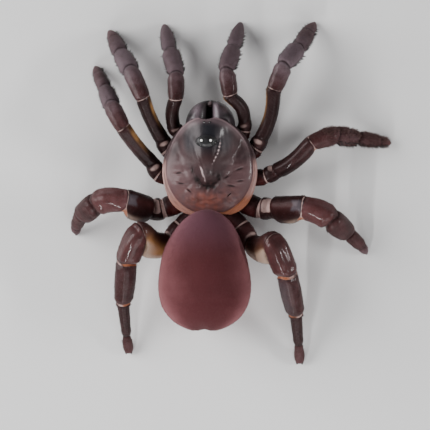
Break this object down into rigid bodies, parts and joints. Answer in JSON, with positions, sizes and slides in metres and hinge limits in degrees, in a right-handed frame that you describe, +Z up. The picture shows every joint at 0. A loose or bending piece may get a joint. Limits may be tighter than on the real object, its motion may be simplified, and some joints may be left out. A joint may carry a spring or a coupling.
{
  "type": "trapdoor spider",
  "caption": "Life-size adult female trapdoor spider, standing: glossy domed shield with a compact eye group, stout jaws, short thick legs and an egg-shaped abdomen.",
  "frame": {"origin": "middle of the spider's box, on the floor that it stands on", "axes": "+Y is the way the spider faces, +X is its right side, +Z is up"},
  "size_m": [0.0454, 0.0484, 0.0118],
  "materials": {
    "shield": "glossy dark brown cuticle",
    "eyes": "polished black lenses",
    "underside": "satin reddish brown cuticle",
    "jaws": "glossy black-brown cuticle",
    "fangs": "polished black cuticle",
    "abdomen": "matt purplish brown velvet",
    "spinnerets": "matt brown",
    "coxae": "satin dark brown cuticle with pale joint rings",
    "femora": "glossy black-brown cuticle",
    "patellae": "glossy brown cuticle",
    "tibiae": "satin grey-brown cuticle",
    "tarsi": "matt hairy grey-brown"
  },
  "bodies": {
    "root": {"carapace": "shield", "eye_tubercle": "eyes", "sternum": "underside", "abdomen": "abdomen", "spinnerets": "spinnerets", "chelicera_left": "jaws", "chelicera_right": "jaws", "fang_left": "fangs", "fang_right": "fangs", "palp_left_coxa": "coxae", "palp_left_femur": "femora", "palp_left_patella": "patellae", "palp_left_tibia": "tibiae", "palp_left_tarsus": "tarsi", "palp_right_coxa": "coxae", "palp_right_femur": "femora", "palp_right_patella": "patellae", "palp_right_tibia": "tibiae", "palp_right_tarsus": "tarsi", "leg_1_left_coxa": "coxae", "leg_1_left_femur": "femora", "leg_1_left_patella": "patellae", "leg_1_left_tibia": "tibiae", "leg_1_left_tarsus": "tarsi", "leg_1_right_coxa": "coxae", "leg_1_right_femur": "femora", "leg_1_right_patella": "patellae", "leg_1_right_tibia": "tibiae", "leg_1_right_tarsus": "tarsi", "leg_2_left_coxa": "coxae", "leg_2_left_femur": "femora", "leg_2_left_patella": "patellae", "leg_2_left_tibia": "tibiae", "leg_2_left_tarsus": "tarsi", "leg_2_right_coxa": "coxae", "leg_2_right_femur": "femora", "leg_2_right_patella": "patellae", "leg_2_right_tibia": "tibiae", "leg_2_right_tarsus": "tarsi", "leg_3_left_coxa": "coxae", "leg_3_left_femur": "femora", "leg_3_left_patella": "patellae", "leg_3_left_tibia": "tibiae", "leg_3_left_tarsus": "tarsi", "leg_3_right_coxa": "coxae", "leg_3_right_femur": "femora", "leg_3_right_patella": "patellae", "leg_3_right_tibia": "tibiae", "leg_3_right_tarsus": "tarsi", "leg_4_left_coxa": "coxae", "leg_4_left_femur": "femora", "leg_4_left_patella": "patellae", "leg_4_left_tibia": "tibiae", "leg_4_left_tarsus": "tarsi", "leg_4_right_coxa": "coxae", "leg_4_right_femur": "femora", "leg_4_right_patella": "patellae", "leg_4_right_tibia": "tibiae", "leg_4_right_tarsus": "tarsi"}
  },
  "joints": []
}
